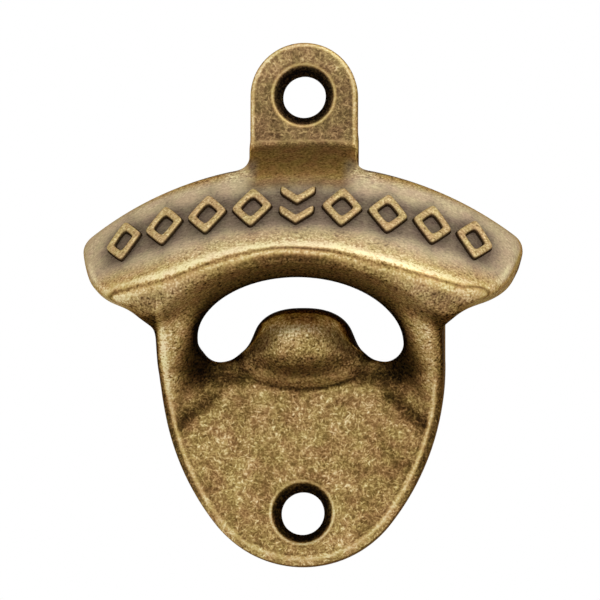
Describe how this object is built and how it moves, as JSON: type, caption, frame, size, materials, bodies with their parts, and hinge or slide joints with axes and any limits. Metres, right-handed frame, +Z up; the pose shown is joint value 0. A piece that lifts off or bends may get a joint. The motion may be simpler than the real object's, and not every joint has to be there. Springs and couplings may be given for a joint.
{
  "type": "bottle opener",
  "caption": "Wall-mounted bottle opener, antique bronze: a bowed, sloping hood with a rounded lip over an arched throat and a fulcrum boss, between a countersunk lug and back plate.",
  "frame": {"origin": "midway between the two screw holes, on the wall plane", "axes": "+Z up along the line of the screw holes, +Y into the wall, -Y out of the front, +X to the right seen from the front"},
  "size_m": [0.067, 0.0255, 0.0803],
  "materials": {
    "antique_bronze": "antique bronze plating, dark in the hollows and rubbed bright on the edges",
    "worn_bronze": "antique bronze plating rubbed bright"
  },
  "bodies": {
    "root": {"mounting_lug": "antique_bronze", "neck": "antique_bronze", "hood": "antique_bronze", "left_cheek": "antique_bronze", "right_cheek": "antique_bronze", "back_plate": "antique_bronze", "fulcrum_boss": "antique_bronze", "raised_chevrons": "worn_bronze", "left_lozenges": "worn_bronze", "right_lozenges": "worn_bronze"}
  },
  "joints": []
}
